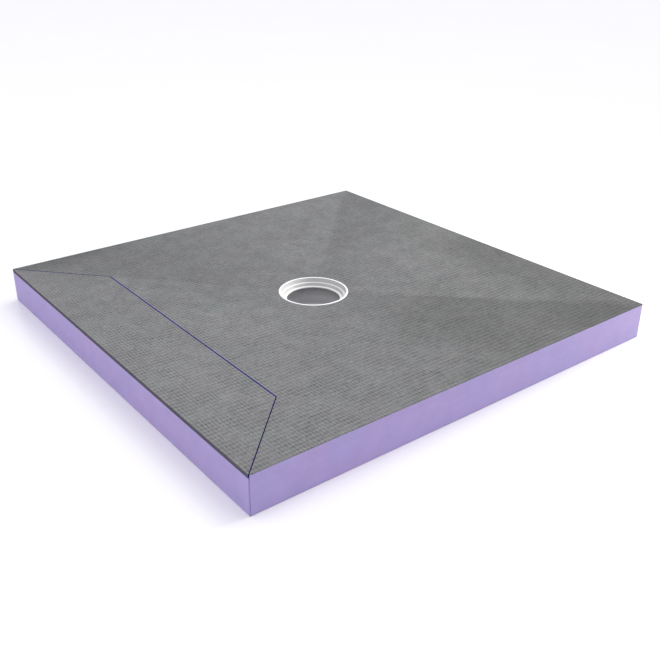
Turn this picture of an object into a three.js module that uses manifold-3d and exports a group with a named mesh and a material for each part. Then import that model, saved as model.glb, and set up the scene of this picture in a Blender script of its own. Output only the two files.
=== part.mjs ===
// A square tileable shower tray: a foam block whose top falls on four sides to a point drain in
// its middle. The fall is covered by a thin mesh-reinforced mortar coat. Along one side the fall
// is a separate trapezoid access panel, let into the foam over the drain's pipe run and parted
// from the coat by a narrow groove. The drain is a stepped plastic ring over a plain sleeve that
// lines the hole through the foam.
// Millimetres, +Z up. The origin is the middle of the underside, and the panel is on the -X side.

import * as THREE from 'three';
import { mergeVertices } from 'three/addons/utils/BufferGeometryUtils.js';
import Module from 'manifold-3d';

// Tray block
const traySide = 900;
const edgeHeight = 70;
const fall = 11; // from the tray's edges down to the flat seat round the drain
const seatMargin = 2; // flat coat left outside the drain ring
const coatThickness = 1;
const cornerRound = 1.5; // of the tray's four upright edges
const footBevel = 1; // along the edges of the underside

// Access panel
const panelDepth = 150; // from the tray's edge to the middle of the long groove
const panelThickness = 6;
const grooveWidth = 1.8;

// Drain ring, from its rim down
const ringRadius = 70;
const rimWidth = 4;
const rimProud = 0.4; // how far the rim stands above the coat
const rimRound = 0.6;
const flangeThickness = 3;
const upperWallDepth = 9.1; // rim to the upper ledge
const lowerWallDepth = 6.3; // upper ledge to the lip
const wallDraft = 1.5; // how much each inner wall leans in
const ledgeWidth = 4;
const lipWidth = 5.5;
const ringWall = 2.5;

// Drain sleeve
const lipOverhang = 2.5; // how far the ring's lip reaches inside the sleeve's wall
const sleeveWall = 2.5;

// Clearances
const bedGap = 0.3; // bond line under the coat and the panel
const fitGap = 0.3; // all round the ring and the sleeve

// Fineness of the turned pieces, how far the cutting shapes run past what they cut, and how close
// two corners are before they count as one
const turnSegments = 64;
const cornerSteps = 4;
const roundSteps = 3;
const overshoot = 1;
const weldDistance = 1e-4;

const half = traySide / 2;
const seatHalf = ringRadius + seatMargin;
const seatLevel = edgeHeight - fall;
const slope = fall / (half - seatHalf);
const rimLevel = seatLevel + rimProud;

// Radii and depths of the ring's steps, with depths measured down from its rim
const mouthRadius = ringRadius - rimWidth;
const upperFootRadius = mouthRadius - wallDraft;
const throatRadius = upperFootRadius - ledgeWidth;
const lowerFootRadius = throatRadius - wallDraft;
const holeRadius = lowerFootRadius - lipWidth;
const lipDepth = upperWallDepth + lowerWallDepth;
const ringDepth = lipDepth + ringWall;
const sleeveRadius = holeRadius + lipOverhang;

const wasm = await Module();
wasm.setup();

function toSolid(geometry) {
  const bare = geometry.index ? geometry.clone() : geometry;
  bare.deleteAttribute('normal');
  bare.deleteAttribute('uv');
  const merged = mergeVertices(bare, weldDistance);
  return new wasm.Manifold(
    new wasm.Mesh({
      numProp: 3,
      vertProperties: new Float32Array(merged.attributes.position.array),
      triVerts: new Uint32Array(merged.index.array),
    }),
  );
}

function toGeometry(solid) {
  const mesh = solid.getMesh();
  const geometry = new THREE.BufferGeometry();
  geometry.setAttribute('position', new THREE.BufferAttribute(mesh.vertProperties, mesh.numProp));
  geometry.setIndex(new THREE.BufferAttribute(mesh.triVerts, 1));
  geometry.computeVertexNormals();
  return geometry;
}

// A square outline with rounded corners, centred on the drain
function trayOutline() {
  const straight = half - cornerRound;
  const quarter = Math.PI / 2;
  const outline = new THREE.Shape();
  outline.absarc(straight, straight, cornerRound, 0, quarter);
  outline.absarc(-straight, straight, cornerRound, quarter, 2 * quarter);
  outline.absarc(-straight, -straight, cornerRound, 2 * quarter, 3 * quarter);
  outline.absarc(straight, -straight, cornerRound, 3 * quarter, 4 * quarter);
  outline.closePath();
  return outline;
}

// The tray's block up to its falling top, with that top lowered by `drop`
function blockUnderTop(drop) {
  const straightHeight = edgeHeight + overshoot - footBevel;
  const block = new THREE.ExtrudeGeometry(trayOutline(), {
    depth: straightHeight,
    curveSegments: cornerSteps,
    bevelThickness: footBevel,
    bevelSize: footBevel,
    bevelOffset: -footBevel,
    bevelSegments: 1,
  });
  block.translate(0, 0, footBevel);
  const blockHeight = straightHeight + 2 * footBevel;

  const dishBottom = seatLevel - drop;
  const dishHeight = blockHeight + overshoot - dishBottom;
  const squareSides = 4;
  const squareToCorner = Math.SQRT2;
  const dish = new THREE.CylinderGeometry(
    (seatHalf + dishHeight / slope) * squareToCorner,
    seatHalf * squareToCorner,
    dishHeight,
    squareSides,
  );
  dish.rotateX(Math.PI / 2);
  dish.rotateZ(Math.PI / 4);
  dish.translate(0, 0, dishBottom + dishHeight / 2);
  return toSolid(block).subtract(toSolid(dish));
}

// An upright prism over the panel. Its two slanted sides lie on the valleys from the tray's
// corners. `grow` moves those sides and the long inner side outwards, and `past` moves the side
// on the tray's edge.
function panelPrism(grow, past) {
  const outerX = -half - past;
  const innerX = -half + panelDepth + grow;
  const valleyShift = grow * Math.SQRT2;
  const outline = new THREE.Shape();
  outline.moveTo(outerX, outerX - valleyShift);
  outline.lineTo(innerX, innerX - valleyShift);
  outline.lineTo(innerX, -innerX + valleyShift);
  outline.lineTo(outerX, -outerX + valleyShift);
  outline.closePath();
  const prism = new THREE.ExtrudeGeometry(outline, {
    depth: edgeHeight + 2 * overshoot,
    bevelEnabled: false,
  });
  return toSolid(prism);
}

// A solid of revolution about the drain's axis, from [radius, height] corners that close on
// themselves or on the axis
function turned(corners) {
  const profile = corners.map(([radius, height]) => new THREE.Vector2(radius, height));
  const lathe = new THREE.LatheGeometry(profile, turnSegments);
  lathe.rotateX(Math.PI / 2);
  return toSolid(lathe);
}

// Corners of a quarter-round edge about (radius, height), from one angle to another
function roundedEdge(radius, height, fromAngle, toAngle) {
  const corners = [];
  for (let step = 0; step <= roundSteps; step += 1) {
    const angle = fromAngle + ((toAngle - fromAngle) * step) / roundSteps;
    corners.push([radius + rimRound * Math.cos(angle), height + rimRound * Math.sin(angle)]);
  }
  return corners;
}

// The hole for the ring and the sleeve, a fit clearance larger than they are, as a cutting shape
function drainCut() {
  const flangeFoot = rimLevel - flangeThickness - bedGap;
  const upperFoot = rimLevel - upperWallDepth - ringWall - bedGap;
  const ringFoot = rimLevel - ringDepth - bedGap;
  const flangeBore = ringRadius + fitGap;
  const upperBore = mouthRadius + ringWall + fitGap;
  const lowerBore = throatRadius + ringWall + fitGap;
  const sleeveBore = sleeveRadius + sleeveWall + fitGap;
  return turned([
    [0, -overshoot],
    [sleeveBore, -overshoot],
    [sleeveBore, ringFoot],
    [lowerBore, ringFoot],
    [lowerBore, upperFoot],
    [upperBore, upperFoot],
    [upperBore, flangeFoot],
    [flangeBore, flangeFoot],
    [flangeBore, edgeHeight],
    [0, edgeHeight],
    [0, -overshoot],
  ]);
}

function foamCore() {
  const panelBed = blockUnderTop(panelThickness + bedGap);
  const panelPocket = panelPrism(grooveWidth / 2, overshoot).subtract(panelBed);
  return blockUnderTop(coatThickness + bedGap).subtract(panelPocket).subtract(drainCut());
}

function topCoating() {
  return blockUnderTop(0)
    .subtract(blockUnderTop(coatThickness))
    .subtract(panelPrism(grooveWidth / 2, overshoot))
    .subtract(drainCut());
}

function accessPanel() {
  return blockUnderTop(0)
    .subtract(blockUnderTop(panelThickness))
    .intersect(panelPrism(-grooveWidth / 2, 0));
}

// The ring's inner side steps in twice, to an upper ledge for a grate and a lip round the hole
function drainRing() {
  const upperLedge = rimLevel - upperWallDepth;
  const lipLevel = rimLevel - lipDepth;
  const quarter = Math.PI / 2;
  const profile = [
    ...roundedEdge(ringRadius - rimRound, rimLevel - rimRound, 0, quarter),
    ...roundedEdge(mouthRadius + rimRound, rimLevel - rimRound, quarter, 2 * quarter),
    [upperFootRadius, upperLedge],
    [throatRadius, upperLedge],
    [lowerFootRadius, lipLevel],
    [holeRadius, lipLevel],
    [holeRadius, lipLevel - ringWall],
    [throatRadius + ringWall, lipLevel - ringWall],
    [throatRadius + ringWall, upperLedge - ringWall],
    [mouthRadius + ringWall, upperLedge - ringWall],
    [mouthRadius + ringWall, rimLevel - flangeThickness],
    [ringRadius, rimLevel - flangeThickness],
  ];
  return turned([...profile, profile[0]]);
}

function drainSleeve() {
  const top = rimLevel - ringDepth - bedGap;
  const outer = sleeveRadius + sleeveWall;
  return turned([
    [sleeveRadius, 0],
    [outer, 0],
    [outer, top],
    [sleeveRadius, top],
    [sleeveRadius, 0],
  ]);
}

function piece(name, solid, colour, roughness) {
  const material = new THREE.MeshStandardMaterial({ color: colour, roughness, metalness: 0 });
  const mesh = new THREE.Mesh(toGeometry(solid), material);
  mesh.name = name;
  return mesh;
}

const tray = new THREE.Group();
tray.add(piece('foam_core', foamCore(), 0xa696cd, 0.85));
tray.add(piece('top_coating', topCoating(), 0x89898b, 0.95));
tray.add(piece('access_panel', accessPanel(), 0x7c7c80, 0.95));
tray.add(piece('drain_ring', drainRing(), 0xf2f2f2, 0.35));
tray.add(piece('drain_sleeve', drainSleeve(), 0x77777a, 0.6));

export default tray;
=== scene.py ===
"""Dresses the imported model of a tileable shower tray: mortar over a mesh, lilac foam and a
plastic drain.

Everything is in metres in the model's own frame: the tray lies on z = 0 with the drain's axis on
the Z axis, and the access panel is on the -X side.
"""

import math

import bmesh
import bpy
from mathutils import Matrix, Vector


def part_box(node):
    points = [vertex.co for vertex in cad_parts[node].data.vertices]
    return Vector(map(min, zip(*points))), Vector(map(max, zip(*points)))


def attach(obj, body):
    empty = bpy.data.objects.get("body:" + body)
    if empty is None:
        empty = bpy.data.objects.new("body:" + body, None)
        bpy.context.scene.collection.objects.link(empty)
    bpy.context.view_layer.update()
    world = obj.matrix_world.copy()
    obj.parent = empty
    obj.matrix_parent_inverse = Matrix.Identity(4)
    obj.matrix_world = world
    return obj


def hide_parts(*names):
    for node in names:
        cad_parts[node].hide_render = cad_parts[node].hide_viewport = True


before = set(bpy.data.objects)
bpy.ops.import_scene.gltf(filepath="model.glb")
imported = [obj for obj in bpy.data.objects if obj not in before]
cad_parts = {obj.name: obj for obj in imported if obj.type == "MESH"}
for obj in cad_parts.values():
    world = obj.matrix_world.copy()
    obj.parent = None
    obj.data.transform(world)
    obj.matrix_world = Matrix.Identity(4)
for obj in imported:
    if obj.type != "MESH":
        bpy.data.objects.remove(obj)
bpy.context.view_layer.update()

MM = 0.001

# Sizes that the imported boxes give
_, FOAM_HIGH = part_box("foam_core")
COAT_LOW, COAT_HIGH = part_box("top_coating")
_, PANEL_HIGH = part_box("access_panel")
_, RING_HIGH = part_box("drain_ring")
_, SLEEVE_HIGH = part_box("drain_sleeve")
HALF = FOAM_HIGH.x
EDGE_LEVEL = COAT_HIGH.z
RING_RADIUS = RING_HIGH.x
RIM_LEVEL = RING_HIGH.z

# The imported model's own smaller sizes
COAT_THICKNESS = 1 * MM
BED_GAP = 0.3 * MM
FIT_GAP = 0.3 * MM
CORNER_ROUND = 1.5 * MM
GROOVE_WIDTH = 1.8 * MM
PANEL_THICKNESS = 6 * MM
SEAT_MARGIN = 2 * MM
SEAT_HALF = RING_RADIUS + SEAT_MARGIN
SEAT_LEVEL = COAT_LOW.z + COAT_THICKNESS
SLOPE = (EDGE_LEVEL - SEAT_LEVEL) / (HALF - SEAT_HALF)
PANEL_INNER_X = PANEL_HIGH.x
COAT_INNER_X = PANEL_INNER_X + GROOVE_WIDTH
SLANT_SHIFT = GROOVE_WIDTH / 2 * math.sqrt(2)  # half the slanted groove's width, along X or Y

# The mesh under the mortar: thread spacing along X and Y, the place of the first thread each way,
# and how deep the mortar sinks between
THREAD_X = 6.265 * MM
THREAD_Y = 9.6 * MM
FIRST_X = 4.3 * MM
FIRST_Y = -3.9 * MM
PIT_DEPTH = 0.22 * MM
THREAD_SAG = 0.3  # share of the pit's depth that a thread sags between two crossings
RELIEF_FADE = 10 * MM  # the mortar is smoothed off over this width towards the drain ring

# Drain ring, measured down from its rim, and the sleeve below it
RIM_WIDTH = 4 * MM
UPPER_WALL = 9.1 * MM
LOWER_WALL = 6.3 * MM
WALL_DRAFT = 1.5 * MM
LEDGE_WIDTH = 4 * MM
LIP_WIDTH = 5.5 * MM
RING_WALL = 2.5 * MM
FLANGE = 3 * MM
SLEEVE_WALL = 2.5 * MM
MOUTH_RADIUS = RING_RADIUS - RIM_WIDTH
UPPER_FOOT = MOUTH_RADIUS - WALL_DRAFT
THROAT_RADIUS = UPPER_FOOT - LEDGE_WIDTH
LOWER_FOOT = THROAT_RADIUS - WALL_DRAFT
HOLE_RADIUS = LOWER_FOOT - LIP_WIDTH
UPPER_LEDGE = RIM_LEVEL - UPPER_WALL
LIP_LEVEL = UPPER_LEDGE - LOWER_WALL
RING_FOOT = LIP_LEVEL - RING_WALL

# Roundings of the mouldings, and the fineness of what is turned or rounded
RIM_ROUND = 0.9 * MM
MOULD_ROUND = 0.5 * MM
MOULD_STEPS = 5
TURN_STEPS = 192
CORNER_STEPS = 4
SHARP_ANGLE = math.radians(35)

# How far the mortar reaches down into the bond line below it
BOND = 0.8 * BED_GAP

# The mortar's tone on the threads, and how much darker, as painted shade where the mortar sinks, it
# is midway between the rows of threads, between the columns, and in the pits where both meet
THREAD_TONE = 1.23
ROW_SHADE = 0.22
COLUMN_SHADE = 0.21
PIT_SHADE = 0.1
THREAD_WANDER = 0.6 * MM  # how far the threads' shading strays to either side

# Painted shade round the drain, for how each fall takes the light, as (turn clockwise from the
# middle of the +Y fall, tone). The tone steps at three of the valleys (0.125, 0.375 and 0.875) and
# drifts in between.
FALL_PAINTED_SHADES = (
    (0.0, 0.95), (0.1245, 1.02), (0.1255, 0.86), (0.25, 1.01), (0.3745, 0.93), (0.3755, 0.71),
    (0.45, 0.73), (0.5, 0.9), (0.6245, 1.0), (0.75, 1.04), (0.8745, 0.97), (0.8755, 0.84),
    (0.93, 0.86), (1.0, 0.95),
)
MEAN_FALL_SHADE = 0.97
SEAT_SHARE = 0.35  # how much of the falls' difference in tone is left beside the drain
WHOLE_SHARE_REACH = 3.2 * SEAT_HALF  # and how far out it is there in full

# Painted shade on the mortar near the +X/-Y corner and in patches along the +X and +Y sides, and a
# darker line along the -X edge, each with the range over which it fades in. A patch has its range
# of x first and then that of y.
SHADED_CORNER = (HALF, -HALF, EDGE_LEVEL)
CORNER_FADE = (0.06, 0.26)
CORNER_SHADE_TONE = 0.74
RIGHT_PATCH = ((0.28, 0.4), (0.09, -0.03))
RIGHT_SHADE = 0.26
BACK_PATCH = ((-0.15, -0.3), (0.37, 0.44))
BACK_SHADE = 0.2
PANEL_EDGE_LINE = (1.2 * MM - HALF, 0.4 * MM - HALF)
PANEL_EDGE_TONE = 0.45

# Painted shade of the groove: the deep violet of foam in its shadow, and how far that painted shade
# spreads onto the mortar on either side of its long run
GROOVE_SHADE_VIOLET = (0.035, 0.014, 0.33)
GROOVE_SHADE_SPREAD = 0.4 * MM

# Painted shade: a darker line along the foam's upright edges, as a range of the lesser of |x| and
# |y|
ARRIS = (HALF - 2.2 * MM, HALF - 1.2 * MM)
ARRIS_SHADE_TONE = 0.78

# Painted shade on the ring: tones of its walls, which are shaded, and of its faces that look up,
# which are lit, and the range of the normal's upward part over which one turns into the other
SHADED_WALL_TONE = 0.46
LIT_LEDGE_TONE = 0.8
FACING_UP = (0.25, 0.8)

# Painted light and shade on the sleeve by height, lighter low down where light comes up from the
# floor through the bore and darker under the ring, as (low, high, tone at the low end, tone at the
# high end)
SLEEVE_BORE_PAINTED_LIGHT = (20 * MM, SLEEVE_HIGH.z, 1.8, 0.85)
SLEEVE_FOOT_PAINTED_LIGHT = (0, 9 * MM, 2.2, 1.0)

# Base colours
MORTAR_GREY = (0.184, 0.1845, 0.1845, 1)
MORTAR_GREEN = (0.179, 0.187, 0.183, 1)
LILAC = (0.355, 0.295, 0.575, 1)
ROSY_LILAC = (0.375, 0.295, 0.57, 1)
BOARD_DARK = (0.085, 0.08, 0.1)
RING_WHITE = (1.0, 1.0, 0.995)
SLEEVE_GREY = (0.2, 0.2, 0.205)
FLOOR_WHITE = (0.96, 0.96, 0.96)

# The range that noise mostly fills
NOISE_RANGE = (0.3, 0.7)


# Shader building

class Shader:
    """A material with a Principled shader, and short calls for the nodes that feed it."""

    def __init__(self, name):
        self.material = bpy.data.materials.new(name)
        self.material.use_nodes = True
        self.nodes = self.material.node_tree.nodes
        self.links = self.material.node_tree.links
        self.surface = self.nodes["Principled BSDF"]
        self.place = self.node("ShaderNodeTexCoord").outputs["Object"]

    def node(self, kind, **settings):
        made = self.nodes.new(kind)
        for key, value in settings.items():
            setattr(made, key, value)
        return made

    def feed(self, socket, value):
        if isinstance(value, bpy.types.NodeSocket):
            self.links.new(value, socket)
        else:
            socket.default_value = value

    def math(self, operation, *values):
        made = self.node("ShaderNodeMath", operation=operation)
        for socket, value in zip(made.inputs, values):
            self.feed(socket, value)
        return made.outputs[0]

    def product(self, first, *others):
        for other in others:
            first = self.math("MULTIPLY", first, other)
        return first

    def span(self, value, from_low, from_high, to_low, to_high, smooth=False):
        kind = "SMOOTHSTEP" if smooth else "LINEAR"
        made = self.node("ShaderNodeMapRange", interpolation_type=kind)
        for socket, item in zip(made.inputs, (value, from_low, from_high, to_low, to_high)):
            self.feed(socket, item)
        return made.outputs[0]

    def axes(self, vector):
        made = self.node("ShaderNodeSeparateXYZ")
        self.links.new(vector, made.inputs[0])
        return made.outputs

    def distance(self, point):
        made = self.node("ShaderNodeVectorMath", operation="DISTANCE")
        self.links.new(self.place, made.inputs[0])
        made.inputs[1].default_value = point
        return made.outputs["Value"]

    def noise(self, size, detail=2.0, rough=0.5, stretch=(1, 1, 1), seed=0.0):
        """Noise from 0 to 1 with blotches about `size` metres across.

        `stretch` makes them that many times longer along each axis.
        """
        mapping = self.node("ShaderNodeMapping")
        self.links.new(self.place, mapping.inputs["Vector"])
        mapping.inputs["Location"].default_value = (seed, seed * 0.7, seed * 1.3)
        mapping.inputs["Scale"].default_value = tuple(1 / (size * item) for item in stretch)
        made = self.node("ShaderNodeTexNoise")
        self.links.new(mapping.outputs[0], made.inputs["Vector"])
        made.inputs["Scale"].default_value = 1.0
        made.inputs["Detail"].default_value = detail
        made.inputs["Roughness"].default_value = rough
        return made.outputs["Fac"]

    def mottle(self, size, low, high, **settings):
        """Noise from `low` to `high`, to multiply a tone by or to use as a roughness."""
        return self.span(self.noise(size, **settings), *NOISE_RANGE, low, high)

    def ramp(self, value, stops):
        """Grey looked up between (position, grey) stops, the first at 0 and the last at 1."""
        made = self.node("ShaderNodeValToRGB")
        points = made.color_ramp.elements
        for position, _ in stops[1:-1]:
            points.new(position)
        for point, (_, grey) in zip(points, stops):
            point.color = (grey, grey, grey, 1)
        self.links.new(value, made.inputs[0])
        return made.outputs[0]

    def blend(self, share, first, second):
        made = self.node("ShaderNodeMix", data_type="RGBA")
        colours = [socket for socket in made.inputs if socket.type == "RGBA"]
        self.feed(made.inputs[0], share)
        for socket, value in zip(colours, (first, second)):
            self.feed(socket, value)
        return next(socket for socket in made.outputs if socket.type == "RGBA")

    def scaled(self, colour, factor):
        """The colour times a plain number from nodes."""
        made = self.node("ShaderNodeVectorMath", operation="SCALE")
        self.feed(made.inputs[0], colour)
        self.feed(made.inputs["Scale"], factor)
        return made.outputs[0]

    def bump(self, height, distance, strength):
        made = self.node("ShaderNodeBump")
        made.inputs["Strength"].default_value = strength
        made.inputs["Distance"].default_value = distance
        self.links.new(height, made.inputs["Height"])
        return made.outputs[0]

    def finish(self, colour, roughness, level, normal=None):
        self.feed(self.surface.inputs["Base Color"], colour)
        self.feed(self.surface.inputs["Roughness"], roughness)
        self.surface.inputs["Specular IOR Level"].default_value = level
        if normal is not None:
            self.links.new(normal, self.surface.inputs["Normal"])
        return self.material


def weave(s, x, y):
    """How far (x, y) is from the threads that cross X and from those that cross Y, 1 midway."""
    openings = []
    for place, first, spacing in ((x, FIRST_X, THREAD_X), (y, FIRST_Y, THREAD_Y)):
        from_first = s.math("SUBTRACT", place, first)
        turns = s.math("MULTIPLY", from_first, 2 * math.pi / spacing)
        openings.append(s.span(s.math("COSINE", turns), 1, -1, 0, 1))
    return openings


def mesh_tone(s, x, y):
    """The mortar's tone over the threads, with painted shade where it sinks between them and in the
    pits, and a mask of the pits.
    """
    wander_x = s.span(s.noise(45 * MM, detail=1, seed=3), 0.2, 0.8, -THREAD_WANDER, THREAD_WANDER)
    wander_y = s.span(s.noise(60 * MM, detail=1, seed=8), 0.2, 0.8, -THREAD_WANDER, THREAD_WANDER)
    open_x, open_y = weave(s, s.math("ADD", x, wander_x), s.math("ADD", y, wander_y))
    pit = s.product(open_x, open_y)
    sunk = s.product(open_y, ROW_SHADE)
    for opening, shade in ((open_x, COLUMN_SHADE), (pit, PIT_SHADE)):
        sunk = s.math("ADD", sunk, s.product(opening, shade))
    worn = s.span(s.noise(38 * MM, seed=11), 0.35, 0.65, 0.6, 1.1, smooth=True)
    cell = s.mottle(5 * MM, 0.72, 1.25, detail=0, seed=17)
    return s.math("SUBTRACT", THREAD_TONE, s.product(sunk, worn, cell)), pit


def painted_fall_shade(s, x, y):
    """Painted shade for each fall, with less difference between the falls close to the drain."""
    turn = s.math("DIVIDE", s.math("ARCTAN2", x, y), 2 * math.pi)
    turn = s.math("FRACT", s.math("ADD", turn, 1.0))
    reach = s.math("MAXIMUM", s.math("ABSOLUTE", x), s.math("ABSOLUTE", y))
    share = s.span(reach, SEAT_HALF, WHOLE_SHARE_REACH, SEAT_SHARE, 1.0, smooth=True)
    off_mean = s.math("SUBTRACT", s.ramp(turn, FALL_PAINTED_SHADES), MEAN_FALL_SHADE)
    return s.math("ADD", s.product(off_mean, share), MEAN_FALL_SHADE)


def shade_patch(s, x, y, patch, shade, mask=1.0):
    """1 outside a patch of the top, and `shade` less within it, as painted shade."""
    over_x, over_y = (
        s.span(place, *limits, 0, 1, smooth=True) for place, limits in zip((x, y), patch)
    )
    return s.math("SUBTRACT", 1.0, s.product(over_x, over_y, mask, shade))


def dark_parts(s, x, y):
    """Painted shade on the mortar near the +X/-Y corner and along the +X and +Y sides, and a darker
    line along the -X edge.
    """
    corner = s.span(s.distance(SHADED_CORNER), *CORNER_FADE, CORNER_SHADE_TONE, 1.0, smooth=True)
    right_patch = shade_patch(s, x, y, RIGHT_PATCH, RIGHT_SHADE)
    off_left_fall = s.math("GREATER_THAN", s.math("ADD", x, y), 0.0)
    back_patch = shade_patch(s, x, y, BACK_PATCH, BACK_SHADE, mask=off_left_fall)
    panel_edge = s.span(x, *PANEL_EDGE_LINE, 1.0, PANEL_EDGE_TONE)
    return s.product(s.math("MINIMUM", corner, right_patch), back_patch, panel_edge)


def groove_shade_band(s, x, y):
    """1 on the mortar beside the groove's long run that takes the groove's painted shade, and 0
    elsewhere.
    """
    middle = (PANEL_INNER_X + COAT_INNER_X) / 2
    from_groove = s.math("ABSOLUTE", s.math("SUBTRACT", x, middle))
    beside = s.math("LESS_THAN", from_groove, GROOVE_WIDTH / 2 + GROOVE_SHADE_SPREAD)
    between_ends = s.math("LESS_THAN", s.math("ABSOLUTE", y), -COAT_INNER_X)
    return s.product(beside, between_ends)


def mortar():
    """Grey mortar over a woven mesh: small pits, cloudy tone, and painted shade in the pits, on
    each fall, near the edges and beside the groove.
    """
    s = Shader("mortar_mesh")
    x, y, _ = s.axes(s.place)
    tone, pit = mesh_tone(s, x, y)
    cloud = s.mottle(110 * MM, 0.94, 1.06, detail=3, rough=0.55, seed=23)
    along_x = s.mottle(3.5 * MM, 0.9, 1.1, stretch=(4, 1, 1), seed=31)
    along_y = s.mottle(2.5 * MM, 0.9, 1.1, stretch=(1, 4, 1), seed=37)
    grain = s.mottle(1.8 * MM, 0.76, 1.24, rough=0.6, seed=41)
    # Painted shade of the falls and near the edges, times the cloudy tone
    painted_shade_and_cloud = s.product(painted_fall_shade(s, x, y), dark_parts(s, x, y), cloud)
    tone = s.product(tone, painted_shade_and_cloud, along_x, along_y, grain)
    greenish = s.span(s.noise(80 * MM, detail=1, seed=53), 0.42, 0.62, 0, 1, smooth=True)
    tint = s.blend(greenish, MORTAR_GREY, MORTAR_GREEN)
    # Painted shade: the groove's violet shadow on the mortar beside its long run
    colour = s.blend(groove_shade_band(s, x, y), s.scaled(tint, tone), s.scaled(GROOVE_SHADE_VIOLET, tone))
    height = s.math("SUBTRACT", s.product(s.noise(0.9 * MM, seed=61), 0.5), pit)
    normal = s.bump(height, 0.12 * MM, strength=0.8)
    return s.finish(colour, roughness=0.92, level=0.25, normal=normal)


def groove_wall(s, x, y):
    """1 on the foam's upright wall beside the groove, and 0 elsewhere."""
    near = 0.2 * MM
    past_end = 2 * MM
    aside = s.math("ABSOLUTE", y)
    on_long = s.math("LESS_THAN", s.math("ABSOLUTE", s.math("SUBTRACT", x, COAT_INNER_X)), near)
    on_long = s.product(on_long, s.math("LESS_THAN", aside, past_end - COAT_INNER_X))
    past = s.math("SUBTRACT", s.math("ADD", aside, x), SLANT_SHIFT)
    on_slant = s.math("LESS_THAN", s.math("ABSOLUTE", past), near)
    on_slant = s.product(on_slant, s.math("LESS_THAN", x, COAT_INNER_X + near))
    return s.math("MAXIMUM", on_long, on_slant)


def foam():
    """Lilac extruded foam, sawn smooth: fine closed cells and faint bands along the board, with
    painted shade along its upright edges and beside the groove.
    """
    s = Shader("lilac_foam")
    x, y, _ = s.axes(s.place)
    cells = s.mottle(1.1 * MM, 0.945, 1.055, detail=1, seed=5)
    bands = s.mottle(6 * MM, 0.98, 1.02, stretch=(12, 12, 1), seed=9)
    patches = s.mottle(30 * MM, 0.965, 1.035, detail=3, seed=13)
    from_middle = s.math("MINIMUM", s.math("ABSOLUTE", x), s.math("ABSOLUTE", y))
    # Painted shade along the upright edges
    arris_shade = s.span(from_middle, *ARRIS, 1.0, ARRIS_SHADE_TONE)
    tone = s.product(cells, bands, patches, arris_shade)
    rosy = s.span(s.noise(70 * MM, detail=1, seed=19), 0.35, 0.65, 0, 1, smooth=True)
    tint = s.blend(rosy, LILAC, ROSY_LILAC)
    # Painted shade: the foam's wall beside the groove takes the violet of the groove's shadow
    colour = s.blend(groove_wall(s, x, y), s.scaled(tint, tone), s.scaled(GROOVE_SHADE_VIOLET, tone))
    normal = s.bump(s.noise(1.1 * MM, seed=27), 0.08 * MM, strength=0.6)
    return s.finish(colour, roughness=0.55, level=0.5, normal=normal)


def painted_groove_shade():
    """The sides of the groove round the access panel: painted shade, foam in the deep violet of the
    groove's shadow.
    """
    s = Shader("shaded_groove")
    cells = s.mottle(0.9 * MM, 0.9, 1.1, detail=1, seed=15)
    drift = s.mottle(30 * MM, 0.92, 1.08, detail=1, seed=21)
    colour = s.scaled(GROOVE_SHADE_VIOLET, s.product(cells, drift))
    normal = s.bump(s.noise(1.1 * MM, seed=33), 0.08 * MM, strength=0.6)
    return s.finish(colour, roughness=0.8, level=0.2, normal=normal)


def board_edge():
    """The cut edge of the access panel: dark grey, with faint layers along the board."""
    s = Shader("dark_board_edge")
    layers = s.mottle(1.1 * MM, 0.85, 1.15, stretch=(30, 30, 1), seed=4)
    grit = s.mottle(1.2 * MM, 0.85, 1.15, seed=7)
    colour = s.scaled(BOARD_DARK, s.product(layers, grit))
    normal = s.bump(s.noise(0.8 * MM, seed=12), 0.1 * MM, strength=0.6)
    return s.finish(colour, roughness=0.9, level=0.2, normal=normal)


def white_plastic():
    """Satin white moulded plastic, with painted shade on its walls, which are darker than the rim
    and the ledges.
    """
    s = Shader("white_moulding")
    mottle = s.mottle(9 * MM, 0.985, 1.01, seed=2)
    facing = s.axes(s.node("ShaderNodeNewGeometry").outputs["Normal"])[2]
    # Painted shade by facing: walls darker than faces that look up
    tone = s.span(facing, *FACING_UP, SHADED_WALL_TONE, LIT_LEDGE_TONE, smooth=True)
    colour = s.scaled(RING_WHITE, s.product(mottle, tone))
    roughness = s.mottle(3 * MM, 0.26, 0.36, seed=6)
    normal = s.bump(s.noise(2.2 * MM, detail=1, seed=10), 0.02 * MM, strength=0.5)
    return s.finish(colour, roughness=roughness, level=0.5, normal=normal)


def grey_plastic():
    """Satin mid-grey moulded plastic with faint rings from its mould, and painted light that makes
    it lighter towards its foot.
    """
    s = Shader("grey_moulding")
    rings = s.mottle(1.6 * MM, 0.95, 1.05, detail=1, stretch=(60, 60, 1), seed=2)
    height = s.axes(s.place)[2]
    # Painted light and shade by height on the sleeve
    tone = s.product(rings, s.span(height, *SLEEVE_BORE_PAINTED_LIGHT), s.span(height, *SLEEVE_FOOT_PAINTED_LIGHT))
    roughness = s.mottle(4 * MM, 0.38, 0.5, seed=6)
    normal = s.bump(s.noise(2.5 * MM, detail=1, seed=10), 0.03 * MM, strength=0.5)
    return s.finish(s.scaled(SLEEVE_GREY, tone), roughness=roughness, level=0.4, normal=normal)


def studio_floor():
    """A pale, slightly glossy studio floor."""
    s = Shader("pale_floor")
    mottle = s.mottle(0.4, 0.995, 1.005, detail=1, seed=2)
    return s.finish(s.scaled(FLOOR_WHITE, mottle), roughness=0.2, level=0.7)


# Mesh building

TOUCH = 1e-6  # points closer than this, in metres, are one

# Which of a piece's materials a face takes: the top's, the groove's painted shade or the board
# edge's
TOP_SLOT, GROOVE_SHADE_SLOT, EDGE_SLOT = 0, 1, 2


def reach_of(x, y):
    """Half the side of the square round the drain that (x, y) is on."""
    return max(abs(x), abs(y))


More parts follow.
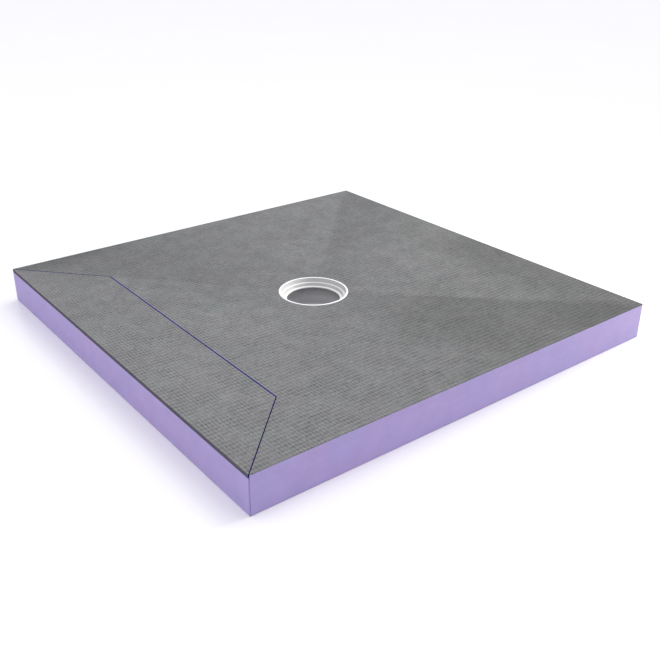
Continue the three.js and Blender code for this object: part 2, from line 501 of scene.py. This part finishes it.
def fall_level(x, y):
    """Height of the plain top over (x, y)."""
    return SEAT_LEVEL + SLOPE * max(0.0, reach_of(x, y) - SEAT_HALF)


def opening(place, first, spacing):
    """0 on a thread, and 1 midway between two."""
    return 0.5 - 0.5 * math.cos(2 * math.pi * (place - first) / spacing)


def relief(x, y):
    """How far the mortar sinks below the plain top at (x, y)."""
    open_x = opening(x, FIRST_X, THREAD_X)
    open_y = opening(y, FIRST_Y, THREAD_Y)
    sunk = open_x * open_y + THREAD_SAG * (open_x * (1 - open_y) + open_y * (1 - open_x))
    from_seat = reach_of(x, y) - SEAT_HALF
    return PIT_DEPTH * sunk * min(1.0, max(0.0, from_seat / RELIEF_FADE))


def lattice(reach):
    """A flat mesh out to `reach`, with its lines on every thread and midway between threads."""
    step_x, step_y = THREAD_X / 2, THREAD_Y / 2
    count_x, count_y = math.ceil(reach / step_x) + 1, math.ceil(reach / step_y) + 1
    mesh = bmesh.new()
    rows = [
        [
            mesh.verts.new((FIRST_X + column * step_x, FIRST_Y + row * step_y, 0))
            for column in range(-count_x, count_x + 1)
        ]
        for row in range(-count_y, count_y + 1)
    ]
    for lower, upper in zip(rows, rows[1:]):
        for column in range(len(lower) - 1):
            mesh.faces.new((lower[column], lower[column + 1], upper[column + 1], upper[column]))
    return mesh


def cut(mesh, point, facing, within=None, clear=False):
    """Parts the faces `within` along the line through `point`, and can clear what it is facing."""
    faces = [face for face in mesh.faces if within is None or within(*face.calc_center_median().xy)]
    edges = {edge: None for face in faces for edge in face.edges}
    verts = {vert: None for face in faces for vert in face.verts}
    bmesh.ops.bisect_plane(
        mesh, geom=[*verts, *edges, *faces], dist=TOUCH,
        plane_co=(*point, 0), plane_no=(*facing, 0), clear_outer=clear,
    )


def tray_outline():
    """(point, facing) lines for the tray's four sides and the facets of its rounded corners."""
    lines = []
    for quarter in range(4):
        turn = quarter * math.pi / 2
        side = Vector((math.cos(turn), math.sin(turn)))
        lines.append((side * HALF, side))
        across = turn + math.pi / 4
        centre = Vector((math.cos(across), math.sin(across))) * (HALF - CORNER_ROUND) * math.sqrt(2)
        for step in range(1, CORNER_STEPS):
            angle = turn + step * math.pi / 2 / CORNER_STEPS
            facing = Vector((math.cos(angle), math.sin(angle)))
            lines.append((centre + facing * CORNER_ROUND, facing))
    return lines


def over_panel(x, y):
    return x < PANEL_INNER_X and abs(y) < -x - SLANT_SHIFT


def over_groove(x, y):
    return x < COAT_INNER_X and abs(y) < -x + SLANT_SHIFT and not over_panel(x, y)


def over_falls(x, y):
    """Whether (x, y) is on the coat, outside the flat seat round the drain."""
    return reach_of(x, y) > SEAT_HALF and not over_panel(x, y) and not over_groove(x, y)


def facet(x, y):
    """Which of the four falls (x, y) is on."""
    if abs(x) > abs(y):
        return "right" if x > 0 else "left"
    return "back" if y > 0 else "front"


def top_sheet():
    """The whole top as one flat sheet of small faces, cut along its folds, groove and edges."""
    spare = THREAD_Y

    def near_seat(x, y):
        return reach_of(x, y) < SEAT_HALF + spare

    sheet = lattice(HALF)
    for slant in (1, -1):
        cut(sheet, (0, 0), (1, slant))
        for side in (SLANT_SHIFT, -SLANT_SHIFT):
            cut(sheet, (side, 0), (1, slant), lambda x, y: x < COAT_INNER_X)
    for edge_x in (PANEL_INNER_X, COAT_INNER_X):
        cut(sheet, (edge_x, 0), (1, 0), lambda x, y: abs(y) < abs(edge_x) + spare)
    for sign in (1, -1):
        cut(sheet, (sign * SEAT_HALF, 0), (sign, 0), near_seat)
        cut(sheet, (0, sign * SEAT_HALF), (0, sign), near_seat)
    for point, facing in tray_outline():
        cut(sheet, point, facing, clear=True)
    return sheet


def keep_faces(mesh, wanted):
    unwanted = [face for face in mesh.faces if not wanted(*face.calc_center_median().xy)]
    bmesh.ops.delete(mesh, geom=unwanted, context="FACES")


def add_seat(mesh, radius):
    """Fills the square round the drain, except for a round hole."""
    boundary = [edge for edge in mesh.edges if edge.is_boundary]
    square = [
        edge for edge in boundary
        if all(reach_of(vert.co.x, vert.co.y) < SEAT_HALF + TOUCH for vert in edge.verts)
    ]
    before = set(mesh.faces)
    circle = bmesh.ops.create_circle(mesh, segments=TURN_STEPS, radius=radius)["verts"]
    rim = {edge for vert in circle for edge in vert.link_edges}
    bmesh.ops.triangle_fill(mesh, edges=[*square, *rim], use_beauty=True)
    seat = [face for face in mesh.faces if face not in before]
    for face in seat:
        face.normal_update()
        if face.normal.z < 0:
            face.normal_flip()


def outline(faces):
    """The corners round a patch of faces, in the faces' own turning direction."""
    inside = set(faces)
    following = {}
    for face in faces:
        for loop in face.loops:
            if loop.edge.is_boundary or loop.link_loop_radial_next.face not in inside:
                following[loop.vert] = loop.link_loop_next.vert
    corners = [next(iter(following))]
    while following[corners[-1]] is not corners[0]:
        corners.append(following[corners[-1]])
    return corners


def beside_groove(x, y):
    """Whether (x, y), on a wall, is on either side of the groove."""
    near = 2 * TOUCH
    on_slant = x < COAT_INNER_X + near and abs(abs(abs(y) + x) - SLANT_SHIFT) < near
    from_long = min(abs(x - COAT_INNER_X), abs(x - PANEL_INNER_X))
    on_long = from_long < near and abs(y) < -x + SLANT_SHIFT
    return on_slant or on_long


def wall_slot(x, y):
    """Which material the upright wall at (x, y) takes."""
    if beside_groove(x, y):
        return GROOVE_SHADE_SLOT
    return EDGE_SLOT if over_panel(x, y) else TOP_SLOT


def thicken(mesh, thickness):
    """Makes a flat sheet a closed slab that follows the fall, with the relief on its top only."""
    top_faces = list(mesh.faces)
    top_points = list(mesh.verts)
    border = [edge.link_loops[0] for edge in mesh.edges if edge.is_boundary]
    border = [(loop.vert, loop.link_loop_next.vert) for loop in border]
    seat, falls = [], {}
    for face in top_faces:
        x, y = face.calc_center_median().xy
        if reach_of(x, y) < SEAT_HALF:
            seat.append(face.verts[:])
        else:
            falls.setdefault(facet(x, y), []).append(face)
    for edge in mesh.edges:
        first, second = (vert.co for vert in edge.verts)
        on_valley = all(abs(abs(co.x) - abs(co.y)) < 2 * TOUCH for co in (first, second))
        if on_valley and min(abs(first.x), abs(second.x)) > SEAT_HALF - TOUCH:
            edge.smooth = False
    below = {}
    for vert in top_points:
        x, y = vert.co.xy
        below[vert] = mesh.verts.new((x, y, fall_level(x, y) - thickness))
    undersides = [outline(faces) for faces in falls.values()] + seat
    for vert in top_points:
        x, y = vert.co.xy
        vert.co.z = fall_level(x, y) - relief(x, y)
    for face in top_faces:
        face.smooth = True
    for first, second in border:
        x, y = ((first.co + second.co) / 2).xy
        wall = mesh.faces.new((second, first, below[first], below[second]))
        wall.material_index = wall_slot(x, y)
        for edge in wall.edges:
            edge.smooth = False
    for corners in undersides:
        mesh.faces.new([below[vert] for vert in reversed(corners)])
    unused = [vert for vert in mesh.verts if not vert.link_faces]
    bmesh.ops.delete(mesh, geom=unused, context="VERTS")


def rounded(corners):
    """Points round a closed profile whose corners are (radius, height, rounding)."""
    points = []
    for index, (x, y, rounding) in enumerate(corners):
        corner = Vector((x, y))
        before = Vector(corners[index - 1][:2]) - corner
        after = Vector(corners[(index + 1) % len(corners)][:2]) - corner
        if not rounding:
            points.append(corner)
            continue
        half_angle = before.angle(after) / 2
        start = corner + before.normalized() * rounding / math.tan(half_angle)
        end = corner + after.normalized() * rounding / math.tan(half_angle)
        inwards = (before.normalized() + after.normalized()).normalized()
        centre = corner + inwards * rounding / math.sin(half_angle)
        for step in range(MOULD_STEPS + 1):
            point = start.lerp(end, step / MOULD_STEPS) - centre
            points.append(centre + point.normalized() * rounding)
    return points


def lathe(name, profile, material, replaced):
    """A turned piece with its axis on Z, from a closed profile of (radius, height) points."""
    mesh = bmesh.new()
    rings = []
    for step in range(TURN_STEPS):
        angle = 2 * math.pi * step / TURN_STEPS
        along, aside = math.cos(angle), math.sin(angle)
        points = [(radius * along, radius * aside, height) for radius, height in profile]
        rings.append([mesh.verts.new(point) for point in points])
    for index, ring in enumerate(rings):
        following = rings[(index + 1) % len(rings)]
        for corner in range(len(profile)):
            after = (corner + 1) % len(profile)
            mesh.faces.new((ring[corner], following[corner], following[after], ring[after]))
    bmesh.ops.recalc_face_normals(mesh, faces=mesh.faces)
    for face in mesh.faces:
        face.smooth = True
    for edge in mesh.edges:
        edge.smooth = edge.calc_face_angle() < SHARP_ANGLE
    return add_piece(name, mesh, [material], replaced)


def add_piece(name, mesh, materials, replaced):
    data = bpy.data.meshes.new(name)
    mesh.to_mesh(data)
    mesh.free()
    for material in materials:
        data.materials.append(material)
    piece = bpy.data.objects.new(name, data)
    bpy.context.scene.collection.objects.link(piece)
    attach(piece, "root")
    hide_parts(replaced)
    return piece


# The tray

lilac = foam()
mesh_mortar = mortar()
dark_edge = board_edge()
groove_shade_material = painted_groove_shade()

coat = top_sheet()
panel = coat.copy()

keep_faces(coat, over_falls)
add_seat(coat, RING_RADIUS + FIT_GAP)
thicken(coat, COAT_THICKNESS + BOND)
add_piece("mortar_coat", coat, [mesh_mortar, groove_shade_material], "top_coating")

keep_faces(panel, over_panel)
thicken(panel, PANEL_THICKNESS + BOND)
add_piece("access_board", panel, [mesh_mortar, groove_shade_material, dark_edge], "access_panel")

ring_profile = rounded([
    (RING_RADIUS, RIM_LEVEL, RIM_ROUND),
    (MOUTH_RADIUS, RIM_LEVEL, RIM_ROUND),
    (UPPER_FOOT, UPPER_LEDGE, MOULD_ROUND),
    (THROAT_RADIUS, UPPER_LEDGE, MOULD_ROUND),
    (LOWER_FOOT, LIP_LEVEL, MOULD_ROUND),
    (HOLE_RADIUS, LIP_LEVEL, MOULD_ROUND),
    (HOLE_RADIUS, RING_FOOT, MOULD_ROUND),
    (THROAT_RADIUS + RING_WALL, RING_FOOT, MOULD_ROUND),
    (THROAT_RADIUS + RING_WALL, UPPER_LEDGE - RING_WALL, 0),
    (MOUTH_RADIUS + RING_WALL, UPPER_LEDGE - RING_WALL, MOULD_ROUND),
    (MOUTH_RADIUS + RING_WALL, RIM_LEVEL - FLANGE, 0),
    (RING_RADIUS, RIM_LEVEL - FLANGE, 0),
])
ring = lathe("stepped_ring", ring_profile, white_plastic(), "drain_ring")

SLEEVE_OUTER = SLEEVE_HIGH.x
SLEEVE_INNER = SLEEVE_OUTER - SLEEVE_WALL
SLEEVE_TOP = SLEEVE_HIGH.z
sleeve_profile = rounded([
    (SLEEVE_INNER, 0, MOULD_ROUND),
    (SLEEVE_OUTER, 0, MOULD_ROUND),
    (SLEEVE_OUTER, SLEEVE_TOP, MOULD_ROUND),
    (SLEEVE_INNER, SLEEVE_TOP, MOULD_ROUND),
])
lathe("bore_sleeve", sleeve_profile, grey_plastic(), "drain_sleeve")

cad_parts["foam_core"].material_slots[0].material = lilac


# Floor

FLOOR_REACH = 14
FLOOR_DROP = 0.2 * MM  # keeps the floor clear of the tray's underside
floor_corners = [
    (FLOOR_REACH * side_x, FLOOR_REACH * side_y, 0)
    for side_x, side_y in ((-1, -1), (1, -1), (1, 1), (-1, 1))
]
floor_mesh = bpy.data.meshes.new("floor")
floor_mesh.from_pydata(floor_corners, [], [(0, 1, 2, 3)])
floor_mesh.materials.append(studio_floor())
floor = bpy.data.objects.new("floor", floor_mesh)
floor.location.z = -FLOOR_DROP
bpy.context.scene.collection.objects.link(floor)


# Light

SKY_COLOUR = (0.95, 0.94, 1.0, 1)
SKY_STRENGTH = 0.84


def add_light(name, kind, place, target=(0, 0, 0), **settings):
    lamp = bpy.data.lights.new(name, kind)
    for key, value in settings.items():
        setattr(lamp, key, value)
    thing = bpy.data.objects.new(name, lamp)
    bpy.context.scene.collection.objects.link(thing)
    thing.location = place
    towards = Vector(target) - Vector(place)
    thing.rotation_euler = towards.to_track_quat("-Z", "Y").to_euler()
    return thing


add_light("key", "SUN", (1.9, 0.3, 3.5), energy=0.85, angle=math.radians(40))
add_light("left_fill", "SUN", (-1, 0.35, 0.8), energy=0.6, angle=math.radians(100))
add_light(
    "right_fill", "AREA", (1.35, -0.64, 0.4), target=(0, 0, 0.05),
    energy=11.5, color=(1, 1, 0.85), shape="DISK", size=0.5,
)

# A low light from the right that brings out the ring's steps, and lights nothing but the ring
drain_light = add_light(
    "drain_light", "SUN", (1.25, -0.75, 0.42), energy=2.1, angle=math.radians(25),
)
drain_only = bpy.data.collections.new("drain_only")
drain_only.objects.link(ring)
drain_light.light_linking.receiver_collection = drain_only

world = bpy.data.worlds.new("studio")
bpy.context.scene.world = world
world.use_nodes = True
sky = world.node_tree.nodes["Background"]
sky.inputs["Color"].default_value = SKY_COLOUR
sky.inputs["Strength"].default_value = SKY_STRENGTH


# Camera, as fitted to the photograph: its focal length and the point that its axis meets in the
# photograph's pixels, and its place and directions in the model's frame

IMAGE_SIDE = 660
FOCAL_PIXELS = 857.07
AXIS_X, AXIS_Y = 313.46, 315.15
SENSOR = 36
CLIP_END = 100
CAMERA_PLACE = (-0.94903, -1.25359, 0.76251)
CAMERA_RIGHT = (0.79719, -0.60373, -0.00015)
CAMERA_UP = (0.26225, 0.34606, 0.90082)
CAMERA_BACK = (-0.54379, -0.71816, 0.43420)

camera_data = bpy.data.cameras.new("camera")
camera_data.sensor_width = SENSOR
camera_data.lens = FOCAL_PIXELS * SENSOR / IMAGE_SIDE
camera_data.shift_x = 0.5 - AXIS_X / IMAGE_SIDE
camera_data.shift_y = AXIS_Y / IMAGE_SIDE - 0.5
camera_data.clip_end = CLIP_END
camera = bpy.data.objects.new("camera", camera_data)
bpy.context.scene.collection.objects.link(camera)
camera_turn = Matrix((CAMERA_RIGHT, CAMERA_UP, CAMERA_BACK)).transposed().to_4x4()
camera.matrix_world = Matrix.Translation(CAMERA_PLACE) @ camera_turn
bpy.context.scene.camera = camera

bpy.context.scene.view_settings.view_transform = "Standard"
